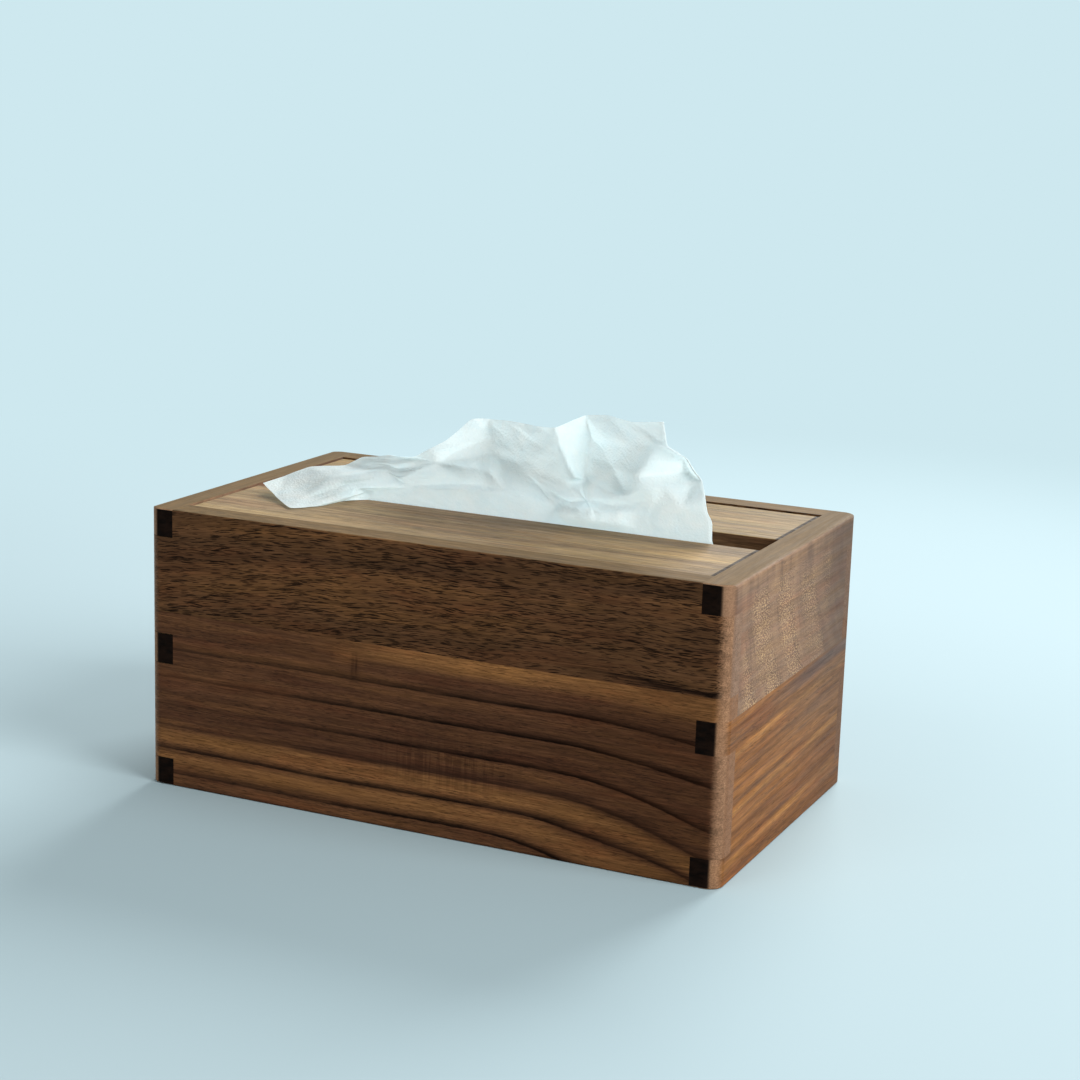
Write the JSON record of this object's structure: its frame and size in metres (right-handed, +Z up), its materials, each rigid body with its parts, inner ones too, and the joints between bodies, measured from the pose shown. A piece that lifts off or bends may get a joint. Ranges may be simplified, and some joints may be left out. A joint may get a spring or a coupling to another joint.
{
  "type": "tissue box with drawer",
  "caption": "Walnut tissue box with finger-jointed corners, a full-length slot in its top, and one end that pulls out as a drawer with the tissues.",
  "frame": {"origin": "middle of the footprint on the surface that the box stands on", "axes": "+X along the length to the fixed end, +Y towards the rear wall, +Z up; the drawer opens along -X"},
  "size_m": [0.216, 0.128, 0.1375],
  "materials": {
    "walnut_porous": "satin oil",
    "walnut_wavy": "satin oil",
    "walnut_speckled": "satin oil",
    "walnut_striped": "satin oil",
    "walnut_top": "satin oil",
    "inner_wood": "sanded, unfinished",
    "dowel_wood": "plain",
    "magnet_metal": "nickel plated",
    "tissue_paper": "soft matt"
  },
  "bodies": {
    "carcase": {"front_wall_upper_board": "walnut_porous", "front_wall_lower_board": "walnut_wavy", "rear_wall_upper_board": "walnut_porous", "rear_wall_lower_board": "walnut_wavy", "right_end_upper_board": "walnut_speckled", "right_end_lower_board": "walnut_striped", "bottom_panel": "inner_wood", "top_front_board": "walnut_top", "top_rear_board": "walnut_top", "front_top_cleat": "inner_wood", "rear_top_cleat": "inner_wood", "right_front_cleat": "inner_wood", "right_rear_cleat": "inner_wood", "carcase_magnets": "magnet_metal"},
    "drawer": {"drawer_front_upper_board": "walnut_speckled", "drawer_front_lower_board": "walnut_striped", "tray_bottom": "inner_wood", "tray_front_side": "inner_wood", "tray_rear_side": "inner_wood", "tray_back": "inner_wood", "tray_dowels": "dowel_wood", "drawer_magnets": "magnet_metal", "tissue_stack": "tissue_paper", "top_tissue": "tissue_paper"}
  },
  "joints": [
    {"name": "drawer_slide", "type": "slide", "parent": "carcase", "child": "drawer", "axis": [-1, 0, 0], "range_m": [0, 0.18]}
  ]
}
